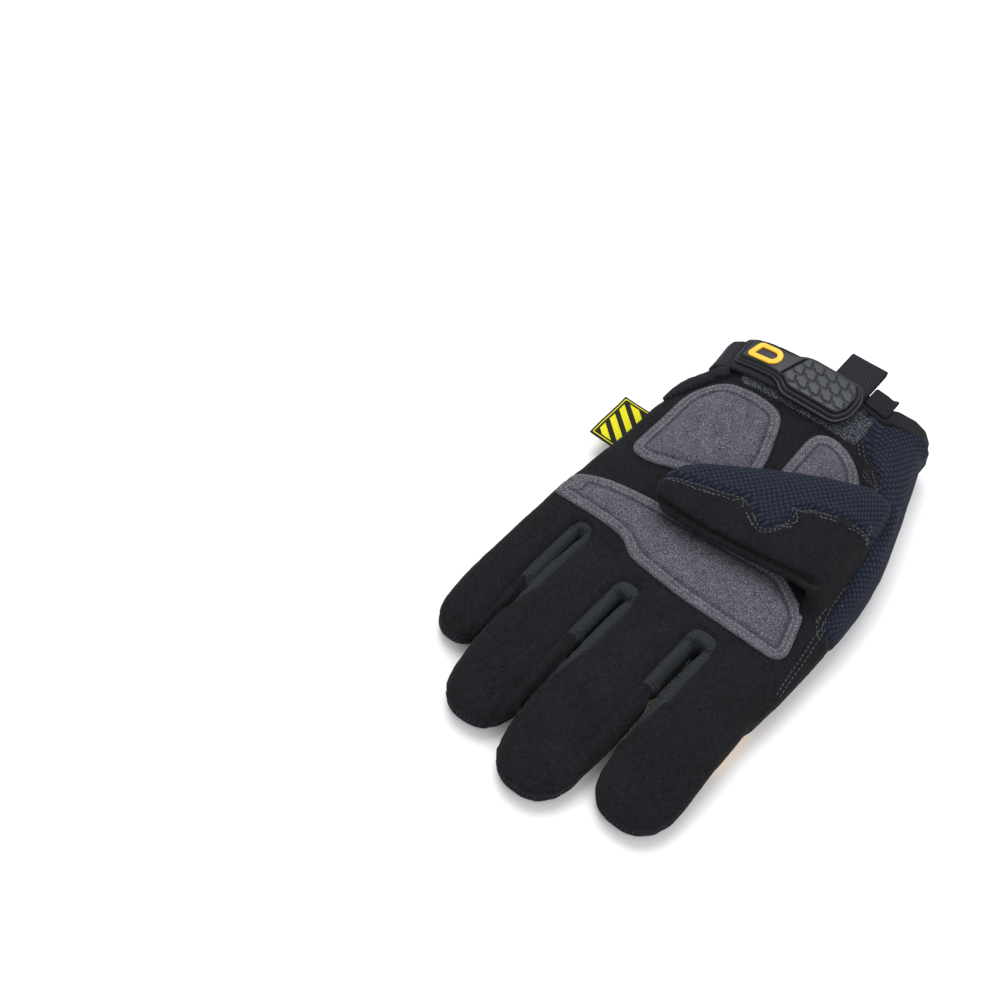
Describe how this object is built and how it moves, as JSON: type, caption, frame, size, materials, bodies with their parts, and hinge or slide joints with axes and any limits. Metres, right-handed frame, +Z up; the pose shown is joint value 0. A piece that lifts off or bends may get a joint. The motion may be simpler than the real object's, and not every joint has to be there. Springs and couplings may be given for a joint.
{
  "type": "impact work glove",
  "caption": "Left-hand impact work glove lying palm up, thumb folded over the palm, with padded suede palm, knit sides, moulded wrist tab and guards on the back.",
  "frame": {"origin": "middle of the bounding box in plan, at floor level under the impact guards", "axes": "+X to the thumb side, +Y from the fingertips to the cuff, +Z up out of the palm"},
  "size_m": [0.1256, 0.2196, 0.0341],
  "materials": {
    "suede": "matt, finely napped synthetic suede, very dark charcoal",
    "back_knit": "matt stretch knit, dark charcoal",
    "fourchette": "fine stretch knit, dark blue-grey",
    "navy_knit": "coarse air mesh knit, navy",
    "grey_pad": "heathered grey synthetic suede, padded and double stitched",
    "binding": "smooth black stretch binding with one stitch line",
    "loop_field": "fuzzy black loop pile",
    "webbing": "black twill webbing",
    "rubber": "matt moulded thermoplastic rubber, blue-black",
    "yellow_rubber": "satin moulded rubber, warm yellow",
    "label": "woven label, plain yellow panel in a black border"
  },
  "bodies": {
    "root": {"back_panel": "back_knit", "badge_frame": "yellow_rubber", "closure_strap": "webbing", "cuff_binding": "binding", "cuff_flap": "binding", "finger_back": "back_knit", "finger_guard_index": "yellow_rubber", "finger_guard_little": "yellow_rubber", "finger_guard_middle": "yellow_rubber", "finger_guard_ring": "yellow_rubber", "finger_panel": "suede", "fourchette_index_middle": "fourchette", "fourchette_middle_ring": "fourchette", "fourchette_ring_little": "fourchette", "heel_pad": "grey_pad", "knuckle_guard": "rubber", "knuckle_pad": "grey_pad", "loop_field": "loop_field", "palm_panel": "suede", "pull_loop": "webbing", "pull_tab": "rubber", "side_gusset": "navy_knit", "side_label": "label", "side_wall_index_middle_left": "suede", "side_wall_index_middle_right": "suede", "side_wall_middle_ring_left": "suede", "side_wall_middle_ring_right": "suede", "side_wall_ring_little_left": "suede", "side_wall_ring_little_right": "suede", "thenar_pad": "grey_pad", "thumb_knit": "navy_knit", "thumb_suede": "suede", "vent_roll": "binding"}
  },
  "joints": []
}
